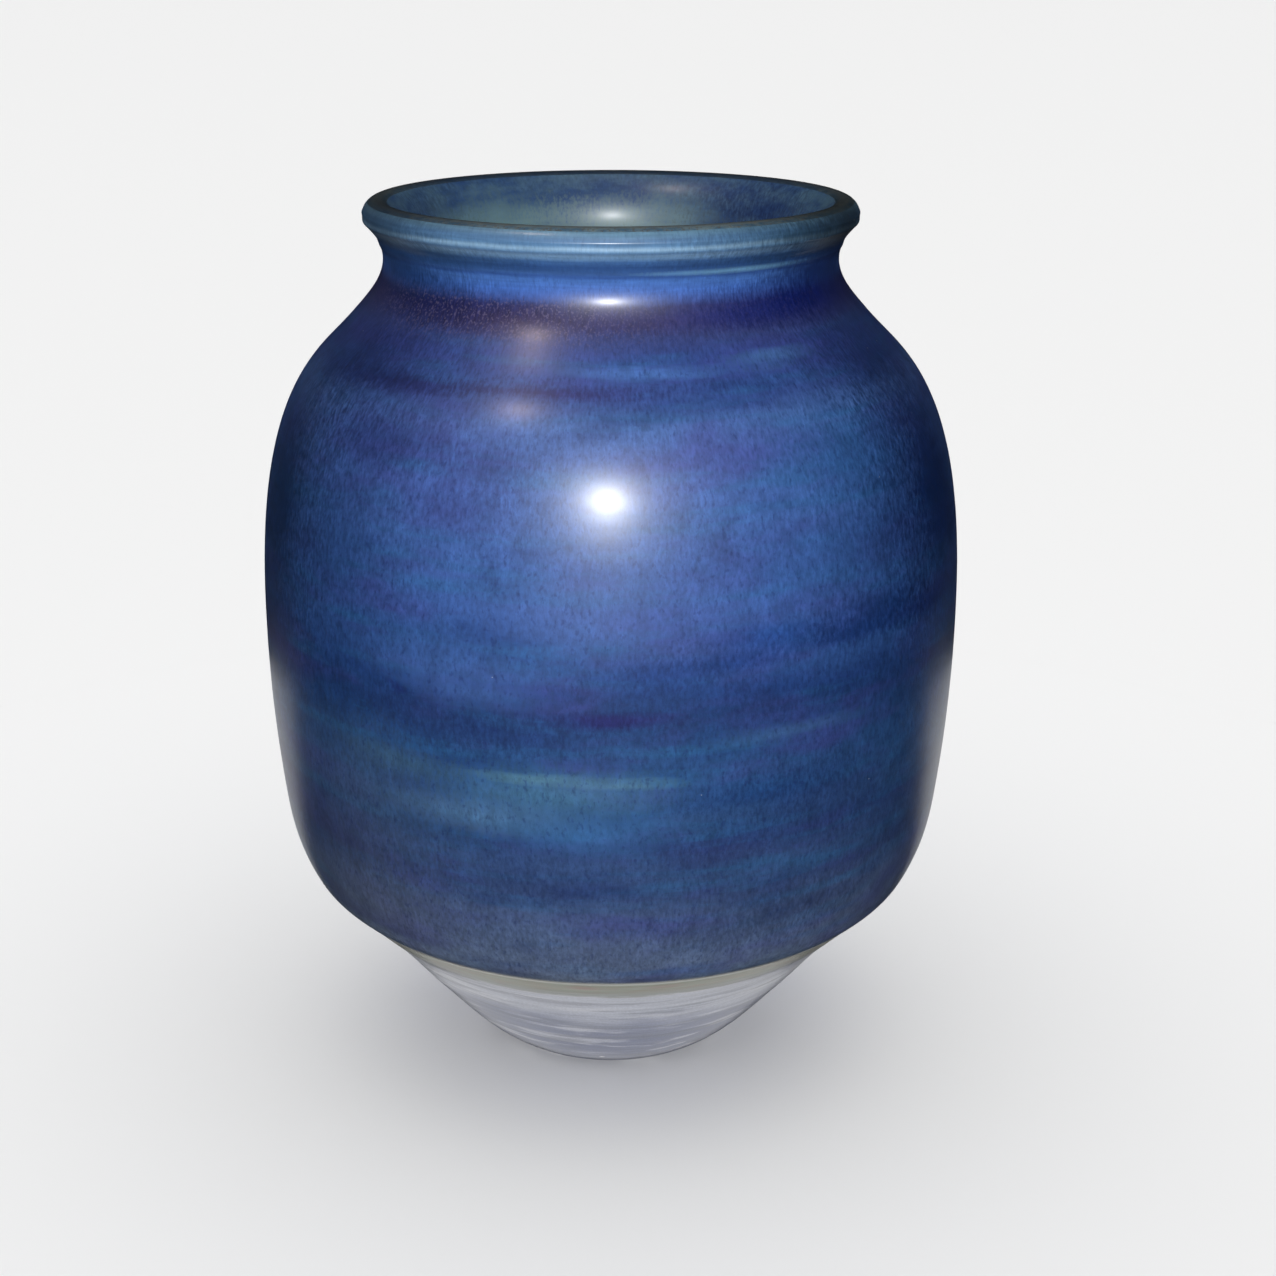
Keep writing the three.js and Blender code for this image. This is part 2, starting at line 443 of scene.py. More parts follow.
def ramp(tree, value, stops):
    """Colours at places from 0 to 1."""
    node = put(tree, "ShaderNodeValToRGB", {0: value})
    band = node.color_ramp
    band.interpolation = "LINEAR"
    while len(band.elements) < len(stops):
        band.elements.new(1.0)
    for element, (place, colour) in zip(band.elements, stops):
        element.position = place
        element.color = colour
    return node.outputs[0]


def stretched(tree, where, x, y, z):
    node = put(tree, "ShaderNodeVectorMath", {0: where, 1: (x, y, z)}, operation="MULTIPLY")
    return node.outputs[0]


def streaks(tree, wheel, around, up, detail=2.0, roughness=0.5, distortion=0.0):
    """A pattern laid out on the wheel: how fine it is round the pot and up it, per metre."""
    where = stretched(tree, wheel, around, around, up)
    return noise(tree, where, detail, roughness, distortion)


def swing(tree, pattern, low, high):
    """The usual range of a pattern, brought to another range."""
    return spread(tree, pattern, 0.3, 0.7, low, high)


def start_finish(name):
    """A new material: its tree, its shader, the wheel's coordinates and the place."""
    material = bpy.data.materials.new(name)
    material.use_nodes = True
    tree = material.node_tree
    shader = tree.nodes["Principled BSDF"]
    wheel = put(tree, "ShaderNodeAttribute", attribute_type="GEOMETRY", attribute_name="wheel")
    place = tree.nodes.new("ShaderNodeTexCoord").outputs["Object"]
    return material, tree, shader, wheel.outputs["Vector"], place


def coloured(tree, shader, colour, roughness):
    tree.links.new(colour, shader.inputs["Base Color"])
    tree.links.new(roughness, shader.inputs["Roughness"])


def bumped(tree, shader, height, depth):
    node = put(tree, "ShaderNodeBump", {"Height": height, "Distance": depth, "Strength": 1.0})
    tree.links.new(node.outputs[0], shader.inputs["Normal"])


def glassy(shader, weight=0.5):
    """A satin glaze: a broad soft sheen from its body, and a tighter gloss from its surface."""
    shader.inputs["Coat Weight"].default_value = weight
    shader.inputs["Coat Roughness"].default_value = 0.28
    shader.inputs["Specular IOR Level"].default_value = 0.4
    shader.inputs["Coat IOR"].default_value = 1.5


# Colours up the outside of the pot: height in mm, colour.
BELLY_BANDS = (
    (53, (120, 134, 158)),
    (57, (110, 128, 158)),
    (62, (92, 112, 146)),
    (70, (82, 104, 144)),
    (78, (70, 92, 136)),
    (85, (52, 76, 124)),
    (91, (54, 82, 132)),
    (98, (44, 70, 124)),
    (106, (50, 86, 138)),
    (114, (46, 84, 138)),
    (122, (44, 82, 136)),
    (130, (36, 70, 124)),
    (134, (34, 64, 118)),
    (139, (38, 70, 130)),
    (146, (50, 86, 150)),
    (154, (56, 92, 158)),
    (166, (62, 96, 164)),
    (182, (66, 101, 168)),
    (198, (66, 97, 164)),
    (206, (74, 108, 172)),
    (211, (58, 84, 148)),
    (214, (56, 84, 150)),
    (219, (52, 76, 142)),
)
NECK_BANDS = (
    (219, (52, 76, 142)),
    (223, (54, 66, 122)),
    (226, (50, 56, 108)),
    (230, (48, 54, 108)),
    (232, (64, 92, 164)),
    (234, (70, 112, 194)),
    (236.5, (74, 118, 192)),
    (237.4, (60, 98, 168)),
    (238.2, (62, 100, 162)),
    (238.9, (50, 86, 142)),
    (240.0, (52, 90, 148)),
    (241.4, (76, 122, 180)),
    (242.3, (122, 166, 208)),
    (243.2, (136, 176, 210)),
    (244.1, (108, 150, 192)),
    (245.0, (142, 180, 212)),
    (245.8, (94, 136, 178)),
    (247.2, (84, 124, 166)),
    (249.0, (104, 142, 168)),
)

# Marks of the brush and the fire on the blue, and marks of painted shade on its far sides: turn
# from the front in degrees, height in mm, half width and half height in mm, colour, strength.
BLUE_MARKS_AND_PAINTED_SHADE = (
    (-9, 114, 30, 7, (72, 120, 156), 0.75),
    (-12, 118, 17, 1.6, (92, 140, 166), 0.7),
    (2, 117, 14, 1.5, (88, 132, 160), 0.6),
    (-34, 117, 20, 4, (64, 106, 140), 0.7),
    (-20, 106, 26, 5, (84, 126, 168), 0.7),
    (-4, 103, 22, 6, (58, 112, 170), 0.6),
    (24, 112, 26, 5, (30, 68, 128), 0.7),
    (36, 108, 20, 10, (38, 58, 110), 0.5),
    (27, 127, 22, 2.5, (62, 104, 152), 0.6),
    (0, 134, 15, 3.0, (38, 40, 108), 0.85),
    (-27, 131, 22, 6, (36, 56, 108), 0.7),
    (-12, 129, 18, 5, (32, 56, 112), 0.6),
    (6, 146, 16, 4.5, (34, 66, 132), 0.8),
    (17, 148, 16, 3.5, (32, 64, 130), 0.8),
    (38, 150, 22, 3.5, (30, 62, 128), 0.8),
    (57, 150, 24, 4.0, (22, 50, 116), 0.8),
    (24, 140, 20, 3.0, (36, 66, 130), 0.6),
    (-25, 146, 28, 7, (66, 100, 164), 0.6),
    (-34, 137, 3.0, 2.6, (30, 48, 108), 0.8),
    (-6, 160, 22, 9, (78, 108, 176), 0.5),
    (14, 163, 18, 8, (70, 104, 172), 0.4),
    (17, 96, 18, 3.5, (60, 62, 118), 0.25),
    (-46, 88, 30, 9, (62, 68, 104), 0.5),
    (-30, 74, 30, 7, (66, 84, 122), 0.4),
    (26, 74, 30, 8, (42, 60, 100), 0.5),
    (0, 66, 16, 8, (78, 94, 128), 0.45),
    (-40, 198, 22, 7, (44, 56, 118), 0.7),
    (-20, 194, 14, 6, (64, 66, 134), 0.5),
    (-24, 184, 18, 6, (58, 74, 140), 0.5),
    (42, 194, 26, 12, (44, 100, 158), 0.6),
    (32, 172, 30, 9, (50, 96, 158), 0.5),
    (-44, 206, 22, 2.2, (60, 98, 156), 0.4),
    (-41, 211, 26, 2.0, (36, 44, 104), 0.8),
    (-10, 211.5, 26, 1.8, (44, 48, 108), 0.85),
    (6, 215.5, 22, 1.3, (74, 116, 184), 0.7),
    (21, 212.5, 20, 1.4, (44, 66, 128), 0.7),
    (34, 217, 14, 2.0, (74, 116, 170), 0.6),
    (-22, 227, 34, 3.6, (52, 44, 86), 0.85),
    (8, 227, 24, 3.2, (54, 50, 98), 0.7),
    (30, 227, 22, 2.6, (36, 46, 116), 0.7),
    (-42, 104, 34, 22, (74, 96, 128), 0.5),
    (-46, 70, 34, 14, (92, 104, 124), 0.45),
    (-20, 139, 20, 4, (68, 104, 170), 0.6),
    (24, 153, 18, 4, (34, 74, 146), 0.7),
    (45, 154, 22, 6, (14, 44, 104), 0.7),
    # Painted shade: the rest of this table darkens the far sides of the pot.
    (-46, 170, 22, 34, (26, 60, 112), 0.5),
    (46, 172, 22, 34, (26, 62, 118), 0.45),
    (64, 182, 28, 46, (0, 26, 80), 0.85),
    (-66, 176, 26, 44, (12, 40, 78), 0.8),
    (-54, 213, 28, 13, (26, 42, 92), 0.7),
    (-50, 228.5, 30, 5, (20, 27, 76), 0.8),
    (60, 214, 26, 12, (16, 42, 88), 0.6),
)
NECK_MARKS_AND_PAINTED_SHADE = (
    (32, 238.2, 27, 0.8, (108, 158, 198), 0.95),
    # Painted shade: the rest of this table darkens the neck and the roll at the far sides.
    (48, 246.0, 34, 5.0, (38, 66, 88), 0.75),
    (66, 245.0, 26, 8.0, (24, 36, 46), 0.85),
    (-58, 234.0, 26, 5.0, (22, 54, 104), 0.75),
    (62, 234.0, 24, 6.0, (8, 40, 78), 0.8),
    (-62, 246.0, 24, 5.0, (48, 76, 104), 0.7),
    (48, 240.6, 40, 2.0, (34, 62, 96), 0.7),
    (-48, 241.0, 30, 2.2, (38, 62, 88), 0.6),
    (52, 229, 34, 6.0, (8, 26, 96), 0.9),
    (62, 236, 26, 4.0, (30, 52, 116), 0.7),
)
LINER_MARKS = (
    (-138, 234, 36, 9, (112, 144, 148), 0.9),
    (176, 232, 36, 10, (130, 156, 158), 0.85),
    (128, 238, 26, 12, (30, 46, 88), 0.8),
    (-112, 240, 20, 10, (34, 54, 84), 0.6),
)
# Painted shade: both ends of the lip, at the far sides, are darkened.
LIP_PAINTED_SHADE = ((-62, 249.4, 34, 6, (38, 52, 72), 0.7), (62, 249.4, 34, 6, (34, 44, 50), 0.7))

CLOUD_TEAL = (46, 106, 158)
CLOUD_VIOLET = (64, 66, 142)
DEEP_BLUE = (28, 46, 104)
THIN_EDGE = (178, 184, 190)
TAN_FLECK = (118, 108, 142)
PIN_SPECK = (206, 220, 236)
LIP_BLUE = (74, 104, 126)
LIP_GREY = (108, 128, 136)
LIP_SPECKLE = (92, 84, 74)
LIP_WORN = (142, 146, 140)
LIP_BEHIND = (38, 54, 80)
LINER_BLUE = (46, 72, 112)
LINER_GREY = (72, 100, 122)
CLAY_LOW = (122, 130, 162)
CLAY_HIGH = (190, 194, 208)
CLAY_STREAK = (216, 218, 228)
CLAY_DARK = (112, 118, 140)
CLAY_CHIP = (250, 250, 250)
WASH_OLIVE = (120, 130, 104)
WASH_OCHRE = (122, 114, 82)
WASH_RUST = (132, 80, 52)
WASH_PALE = (196, 198, 192)
WASH_GREY = (130, 137, 140)

CHIPS = ((-3.5, 5.5, 0.9, 0.7, CLAY_CHIP, 1.0),)
RUST_SPOTS = (
    (-5, 50.5, 5, 1.4, WASH_RUST, 0.8),
    (-14, 50.5, 7, 1.0, WASH_OCHRE, 0.7),
    (10, 50.5, 6, 1.3, WASH_RUST, 0.6),
    (24, 51, 7, 1.2, WASH_OCHRE, 0.6),
    (-30, 51, 9, 1.2, WASH_OCHRE, 0.6),
)

# Heights between which one look gives way to another, and how far the bands wander up and down.
BELLY_DRIFT = 5 * MM
NECK_DRIFT = 0.7 * MM
BELLY_TO_NECK = (218 * MM, 220 * MM)
CLOUDS_END = (224 * MM, 218 * MM)
BRUSHED_FROM = (228 * MM, 236 * MM)
GRAIN_FADES = (229 * MM, 238 * MM)
TAN_STARTS = (219 * MM, 225 * MM)
TAN_ENDS = (232.5 * MM, 230 * MM)
TAN_TO_THE_LEFT = (16 * MM, -12 * MM)
EDGE_PALE = (1.1 * MM, 2.4 * MM)  # from the edge of the glaze
LIP_THINS = (249.5 * MM, 249.9 * MM)
CLAY_PALES = (24 * MM, 34 * MM)


def bands(tree, level, colours):
    low, high = colours[0][0] * MM, colours[-1][0] * MM
    stops = [((mm * MM - low) / (high - low), shade(*colour)) for mm, colour in colours]
    return ramp(tree, spread(tree, level, low, high), stops)


def skin_radius(height):
    """The outside radius of the pot at a height, on the glaze or on the bare clay below it."""
    outside = skin[: int(skin[:, 1].argmax())]
    if height < glaze_line:
        rising = clay_curve[: int(clay_curve[:, 1].argmax())]
        outside = rising[int(np.flatnonzero(rising[:, 1] < FOOT_EASE)[-1]) :]
    return float(np.interp(height, outside[:, 1], outside[:, 0]))


def marked(tree, colour, spot, grit, marks):
    """Soft-edged marks on the outside of the pot."""
    for turn, level, width, tall, tint, strength in marks:
        a, z = math.radians(turn), level * MM
        centre = (skin_radius(z) * math.sin(a), -skin_radius(z) * math.cos(a), z)
        away = put(tree, "ShaderNodeVectorMath", {0: spot, 1: centre}, operation="SUBTRACT")
        size = (1 / (width * MM), 1 / (width * MM), 1 / (tall * MM))
        away = stretched(tree, away.outputs[0], *size)
        far = put(tree, "ShaderNodeVectorMath", {0: away}, operation="LENGTH").outputs["Value"]
        far = calc(tree, "ADD", far, grit)
        amount = spread(tree, far, 0.25, 1.25, strength, 0.0)
        colour = mixed(tree, amount, colour, shade(*tint))
    return colour


def wandering(tree, spot, wheel, reach):
    """The place on the pot, shifted by a brush that drags along the turn of the wheel."""
    drag = put(tree, "ShaderNodeTexNoise", {"Scale": 1.0, "Detail": 4.0, "Roughness": 0.6})
    feed(tree, drag.inputs["Vector"], stretched(tree, wheel, 26, 26, 190))
    centred = put(tree, "ShaderNodeVectorMath", {0: drag.outputs["Color"], 1: (0.5, 0.5, 0.5)})
    centred.operation = "SUBTRACT"
    moved = stretched(tree, centred.outputs[0], *reach)
    return put(tree, "ShaderNodeVectorMath", {0: spot, 1: moved}, operation="ADD").outputs[0]


def pin_specks(tree, wheel, per_metre, size):
    """1 in tiny round specks, 0 elsewhere."""
    cells = put(tree, "ShaderNodeTexVoronoi", {"Vector": wheel, "Scale": per_metre})
    return spread(tree, cells.outputs["Distance"], size * per_metre, 0.6 * size * per_metre)


def scaled_colour(tree, colour, factor):
    return mixed(tree, 1.0, colour, vector(tree, factor, factor, factor), "MULTIPLY")


def held_back(tree, factor, amount):
    """A factor drawn back towards 1 where the amount is low."""
    return calc(tree, "MULTIPLY_ADD", calc(tree, "SUBTRACT", factor, 1.0), amount, 1.0)


def blue_glaze():
    material, tree, shader, wheel, place = start_finish("mottled blue glaze")
    height = part(tree, place, "Z")
    slow = streaks(tree, wheel, 9, 30, 4.0, 0.6)
    layers = []
    for colours, far in ((BELLY_BANDS, BELLY_DRIFT), (NECK_BANDS, NECK_DRIFT)):
        drift = spread(tree, slow, 0.25, 0.75, -far, far)
        layers.append(bands(tree, calc(tree, "ADD", height, drift), colours))
    colour = mixed(tree, spread(tree, height, *BELLY_TO_NECK), *layers)

    on_belly = spread(tree, height, *CLOUDS_END)
    clouds = streaks(tree, wheel, 24, 66, 6.0, 0.62)
    feather = streaks(tree, wheel, 20, 190, 6.0, 0.6)
    for pattern, start, full, strength, tint in (
        (feather, 0.5, 0.66, 0.42, CLOUD_TEAL),
        (clouds, 0.49, 0.66, 0.5, CLOUD_VIOLET),
        (clouds, 0.46, 0.3, 0.45, DEEP_BLUE),
    ):
        amount = spread(tree, pattern, start, full, 0.0, strength)
        amount = calc(tree, "MULTIPLY", amount, on_belly)
        colour = mixed(tree, amount, colour, shade(*tint))

    fine = streaks(tree, wheel, 1250, 480, 3.0, 0.65)
    grit = swing(tree, fine, -0.22, 0.22)
    spot = wandering(tree, place, wheel, (16 * MM, 16 * MM, 5 * MM))
    # Marks of the glaze; both tables also hold painted shade that darkens the far sides.
    colour = marked(tree, colour, spot, grit, BLUE_MARKS_AND_PAINTED_SHADE)
    colour = marked(tree, colour, place, grit, NECK_MARKS_AND_PAINTED_SHADE)

    brushed = swing(tree, streaks(tree, wheel, 60, 1100, 4.0, 0.6), 0.86, 1.14)
    off_belly = spread(tree, height, *BRUSHED_FROM)
    colour = scaled_colour(tree, colour, held_back(tree, brushed, off_belly))
    start, stop = (float(skin_up[0]) + reach for reach in EDGE_PALE)
    thin = spread(tree, part(tree, wheel, "Z"), start, stop, 0.9, 0.0)
    colour = mixed(tree, thin, colour, shade(*THIN_EDGE))

    grainy = spread(tree, height, *GRAIN_FADES, 1.0, 0.4)
    soft = swing(tree, streaks(tree, wheel, 240, 130, 4.0, 0.6), 0.84, 1.16)
    colour = scaled_colour(tree, colour, held_back(tree, soft, grainy))
    grain = spread(tree, fine, 0.32, 0.66, 0.78, 1.2)
    colour = scaled_colour(tree, colour, held_back(tree, grain, grainy))
    fleck = spread(tree, streaks(tree, wheel, 1300, 620), 0.57, 0.7, 0.0, 0.42)
    colour = mixed(tree, calc(tree, "MULTIPLY", fleck, grainy), colour, shade(*DEEP_BLUE))

    ends, starts = spread(tree, height, *TAN_ENDS), spread(tree, height, *TAN_STARTS)
    purple = calc(tree, "MULTIPLY", ends, starts)
    to_left = spread(tree, part(tree, place, "X"), *TAN_TO_THE_LEFT, 0.15, 1.0)
    purple = calc(tree, "MULTIPLY", purple, to_left)
    dots = spread(tree, streaks(tree, wheel, 1500, 1500, 1.0), 0.54, 0.66, 0.0, 0.4)
    colour = mixed(tree, calc(tree, "MULTIPLY", dots, purple), colour, shade(*TAN_FLECK))
    specks = pin_specks(tree, wheel, 90.0, 0.24 * MM)
    colour = mixed(tree, calc(tree, "MULTIPLY", specks, 0.6), colour, shade(*PIN_SPECK))

    coloured(tree, shader, colour, swing(tree, clouds, 0.42, 0.52))
    glassy(shader)
    relief = calc(tree, "ADD", fine, calc(tree, "MULTIPLY", specks, 2.0))
    bumped(tree, shader, relief, 0.025 * MM)
    return material


def worn_lip():
    material, tree, shader, wheel, place = start_finish("glaze worn thin on the lip")
    height = part(tree, place, "Z")
    wear = streaks(tree, wheel, 300, 700, 5.0, 0.65)
    grit = streaks(tree, wheel, 1100, 1100, 2.0, 0.6)
    colour = mixed(tree, spread(tree, wear, 0.42, 0.6), shade(*LIP_BLUE), shade(*LIP_GREY))
    colour = mixed(tree, spread(tree, grit, 0.52, 0.64, 0.0, 0.7), colour, shade(*LIP_SPECKLE))
    thin = calc(tree, "MULTIPLY", spread(tree, height, *LIP_THINS), 0.5)
    colour = mixed(tree, thin, colour, shade(*LIP_WORN))
    behind = spread(tree, part(tree, place, "Y"), -10 * MM, 40 * MM, 0.0, 0.75)
    colour = mixed(tree, behind, colour, shade(*LIP_BEHIND))
    # Painted shade darkens both ends of the lip.
    colour = marked(tree, colour, place, swing(tree, grit, -0.3, 0.3), LIP_PAINTED_SHADE)
    coloured(tree, shader, colour, swing(tree, wear, 0.32, 0.5))
    glassy(shader)
    bumped(tree, shader, wear, 0.05 * MM)
    return material


def liner():
    material, tree, shader, wheel, place = start_finish("thin liner glaze")
    patch = streaks(tree, wheel, 44, 130, 6.0, 0.68)
    colour = mixed(tree, spread(tree, patch, 0.4, 0.64), shade(*LINER_BLUE), shade(*LINER_GREY))
    grain = streaks(tree, wheel, 900, 600, 3.0, 0.65)
    spot = wandering(tree, place, wheel, (20 * MM, 20 * MM, 8 * MM))
    colour = marked(tree, colour, spot, swing(tree, grain, -0.3, 0.3), LINER_MARKS)
    colour = scaled_colour(tree, colour, swing(tree, grain, 0.76, 1.24))
    coloured(tree, shader, colour, swing(tree, patch, 0.4, 0.52))
    glassy(shader, 0.3)
    bumped(tree, shader, grain, 0.02 * MM)
    return material


def clay_colour(tree, wheel, place):
    """Grey clay: paler towards the glaze, with long pale slip streaks left by the turning."""
    height = part(tree, place, "Z")
    wave = spread(tree, streaks(tree, wheel, 24, 60), 0.25, 0.75, -5 * MM, 5 * MM)
    pale = spread(tree, calc(tree, "ADD", height, wave), *CLAY_PALES)
    colour = mixed(tree, pale, shade(*CLAY_LOW), shade(*CLAY_HIGH))
    lines = streaks(tree, wheel, 36, 900, 4.0, 0.6)
    colour = scaled_colour(tree, colour, swing(tree, lines, 0.86, 1.14))
    lens = streaks(tree, wheel, 26, 250, 3.0, 0.55, 0.5)
    colour = mixed(tree, spread(tree, lens, 0.52, 0.63, 0.0, 0.7), colour, shade(*CLAY_STREAK))
    dark = streaks(tree, wheel, 20, 300, 4.0, 0.6)
    colour = mixed(tree, spread(tree, dark, 0.53, 0.63, 0.0, 0.6), colour, shade(*CLAY_DARK))
    grain = streaks(tree, wheel, 1200, 1200, 2.0, 0.6)
    colour = scaled_colour(tree, colour, swing(tree, grain, 0.9, 1.1))
    return marked(tree, colour, place, 0.0, CHIPS), lines


def clay_surface(tree, shader, colour, lines):
    coloured(tree, shader, colour, swing(tree, lines, 0.36, 0.5))
    shader.inputs["Sheen Weight"].default_value = 0.6
    shader.inputs["Sheen Roughness"].default_value = 0.4
    bumped(tree, shader, lines, 0.06 * MM)


def bare_clay():
    material, tree, shader, wheel, place = start_finish("bare fired clay")
    clay_surface(tree, shader, *clay_colour(tree, wheel, place))
    return material


def edge_wash():
    material, tree, shader, wheel, place = start_finish("olive wash over clay")
    height = part(tree, place, "Z")
    clay, lines = clay_colour(tree, wheel, place)
    blot = streaks(tree, wheel, 130, 420, 4.0, 0.6)
    wash = mixed(tree, spread(tree, blot, 0.42, 0.62), shade(*WASH_OLIVE), shade(*WASH_OCHRE))
    rust = streaks(tree, wheel, 70, 260, 4.0, 0.65)
    wash = mixed(tree, spread(tree, rust, 0.6, 0.7, 0.0, 0.5), wash, shade(*WASH_RUST))
    wash = marked(tree, wash, place, swing(tree, blot, -0.3, 0.3), RUST_SPOTS)
    top = spread(tree, height, glaze_line - 1.0 * MM, glaze_line - 0.4 * MM, 0.0, 0.7)
    wash = mixed(tree, top, wash, shade(*WASH_PALE))
    low = spread(tree, height, wash_foot + 1.5 * MM, wash_foot + 5 * MM, 0.8, 0.0)
    wash = mixed(tree, low, wash, shade(*WASH_GREY))
    ragged = calc(tree, "ADD", height, swing(tree, blot, -0.9 * MM, 0.9 * MM))
    fade = spread(tree, ragged, wash_foot - 0.2 * MM, wash_foot + 1.4 * MM)
    clay_surface(tree, shader, mixed(tree, fade, clay, wash), lines)
    return material


# ---- the pieces ------------------------------------------------------------------------------
clay_points = clay_section()
faces = coat_faces(clay_points)
clay_curve = curve_through(clay_points, FOOT_EASE)
clay_curve[:, 1] = np.maximum(clay_curve[:, 1], cad_box[0].z)
clay_out = facing(clay_curve)[1]
clay_up = lengths(clay_curve)

skin = curve_through(np.concatenate(faces), FLOOR_EASE)
skin_out = facing(skin)[1]
skin_up = lengths(skin)
crest = int(skin[:, 1].argmax())
for below, rise, width in NECK_LINES:
    drop = (skin[:crest, 1] - (lip_top - below)) / width
    skin[:crest] += skin_out[:crest] * (rise * np.exp(-(drop**2)))[:, None]
skin_along, skin_out = facing(skin)

between = [(a[-1] + b[0]) / 2 for a, b in zip(faces, faces[1:])]
lip_start, lip_stop = (nearest(skin, point) for point in between)
coat = beside(clay_points, np.concatenate(faces))[0].max()  # from the clay to the glaze's face
backing = coat - BACK_CLEAR

NO_MOVE = [(0, 0)]


def clay_body():
    """The fired clay: fine rows where it is bare, and few where glaze covers it."""
    shown = nearest(clay_curve, (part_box("outer_glaze")[1].x, glaze_line + FINE_UNDER_GLAZE))
    outline = Outline()
    rows = rows_between(clay_curve, 0, shown, TURNED_SIDE)
    push = clay_out[rows] * smoothstep(clay_curve[rows, 0] / CLAY_STILL)[:, None]
    outline.add(clay_curve[rows], push, NO_MOVE * len(rows), clay_up[rows])
    rows = rows_between(clay_curve, shown, len(clay_curve) - 1, COVERED)[1:]
    outline.add(clay_curve[rows], NO_MOVE * len(rows), NO_MOVE * len(rows), clay_up[rows])
    return outline


def coat_section(start, stop, finest, rolled=False):
    """A coat from one place on the skin to another: its face, and its back against the clay."""
    front = rows_between(skin, start, stop, finest)
    from_edge = skin_up[front] - skin_up[start]
    lift = np.zeros(len(front))
    slide = np.zeros(len(front))
    if rolled:
        near = np.clip(1 - from_edge / EDGE_ROLL, 0, 1)
        thinned = THINNED * coat * (1 - smoothstep(from_edge / EDGE_THINS))
        lift = thinned + (coat + SUNK - thinned) * (1 - np.sqrt(1 - near**2))
        slide = 1 - smoothstep(from_edge / WANDER_REACH)
    outline = Outline()
    outline.add(
        skin[front] - skin_out[front] * lift[:, None],
        skin_out[front],
        skin_along[front] * slide[:, None],
        skin_up[front],
    )
    back = rows_between(skin, start, stop, COVERED)[::-1]
    if rolled:
        back = back[skin_up[back] - skin_up[start] > NO_BACK]
    slide = 1 - smoothstep((skin_up[back] - skin_up[start]) / WANDER_REACH) if rolled else 0 * back
    outline.add(
        skin[back] - skin_out[back] * backing,
        NO_MOVE * len(back),
        skin_along[back] * slide[:, None],
        skin_up[back],
    )
    outline.close()
    return outline


def liner_section():
    """The coat of the hollow: its back from the middle outwards and up, then its face down."""
    last = len(skin) - 1
    back = rows_between(skin, lip_stop, last, COVERED)[::-1]
    face = rows_between(skin, lip_stop, last, INSIDE)
    outline = Outline()
    behind = skin[back] - skin_out[back] * backing
    behind[0, 0] = 0
    outline.add(behind, NO_MOVE * len(back), NO_MOVE * len(back), skin_up[back])
    keep = smoothstep(skin[face, 0] / LINER_STILL)[:, None]
    outline.add(skin[face], skin_out[face] * keep, NO_MOVE * len(face), skin_up[face])
    return outline


def wash_section():
    """A film over the clay that runs in under the edge of the glaze."""
    elsewhere = (clay_up > clay_up[-1] / 2) | (clay_curve[:, 0] < WASH_OUT)
    low = int(np.argmin(np.abs(clay_curve[:, 1] - wash_foot) + elsewhere))
    high = int(np.argmin(np.abs(clay_curve[:, 1] - glaze_line - TUCK) + elsewhere))
    rows = rows_between(clay_curve, low, high, TURNED_SIDE)
    from_edge = clay_up[rows] - clay_up[low]
    lift = UNDER_FILM + (FILM - UNDER_FILM) * smoothstep(from_edge / FILM_EASE)
    outline = Outline()
    for chosen, out in ((rows, lift), (rows[::-1][1:-1], np.full(len(rows) - 2, -UNDER_FILM))):
        outline.add(
            clay_curve[chosen] + clay_out[chosen] * out[:, None],
            clay_out[chosen],
            NO_MOVE * len(chosen),
            clay_up[chosen],
        )
    outline.close()
    return outline


THROWN = {"ring_depth": 0.08 * MM, "ring_spacing": 8 * MM, "ring_drift": 1.2}
DIPPED = THROWN | {"line_wander": LINE_WANDER}
TURNED = {"ring_depth": 0.14 * MM, "ring_spacing": 1.6 * MM, "ring_drift": 1.5}

outer_section = coat_section(0, lip_start, SHOWN, rolled=True)
lip_section = coat_section(lip_start, lip_stop, SHOWN)
made = (
    ("clay_body", clay_body(), bare_clay(), TURNED, CLAY, "bare_clay"),
    ("edge_wash_film", wash_section(), edge_wash(), TURNED, ("edge_wash",), "olive_wash"),
    ("outer_glaze_coat", outer_section, blue_glaze(), DIPPED, ("outer_glaze",), "blue_glaze"),
    ("lip_glaze_coat", lip_section, worn_lip(), THROWN, ("lip_glaze",), "worn_lip_glaze"),
    ("liner_glaze_coat", liner_section(), liner(), THROWN, ("liner_glaze",), "liner_glaze"),
)
for name, outline, finish, marks, nodes, slot in made:
    piece = turn_piece(name, outline, finish, **marks)
    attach(piece, "root")
    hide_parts(*nodes)

# ---- studio ----------------------------------------------------------------------------------
CAMERA_SPOT = (0.0, -0.5583, 0.316)
CAMERA_DROP = math.radians(19.23)
LENS = 56.43
SENSOR = 36.0
NEAR_CLIP = 0.01
SIDE_SHIFT = 0.0212
UNDER_POT = 0.18  # in front, the floor out to here lights the pot but isn't seen in its glaze
NEAR_FLOOR = 0.37  # behind, the floor out to here lights the pot and is seen in its glaze
FAR_FLOOR = 30.0
BEHIND = (math.radians(25), math.radians(155))
IN_FRONT = (math.radians(-205), math.radians(25))
FLOOR_LEVEL = -0.05 * MM
FLOOR_STEPS = 96
PAPER = (0.86, 0.86, 0.86, 1)
ROOM = (0.88, 0.88, 0.88, 1)
WARM = (1.0, 0.8, 0.7)
SOFT_SKY = math.radians(100)
KEY_SPOT = (-0.01, CAMERA_SPOT[1], CAMERA_SPOT[2] + 0.065)


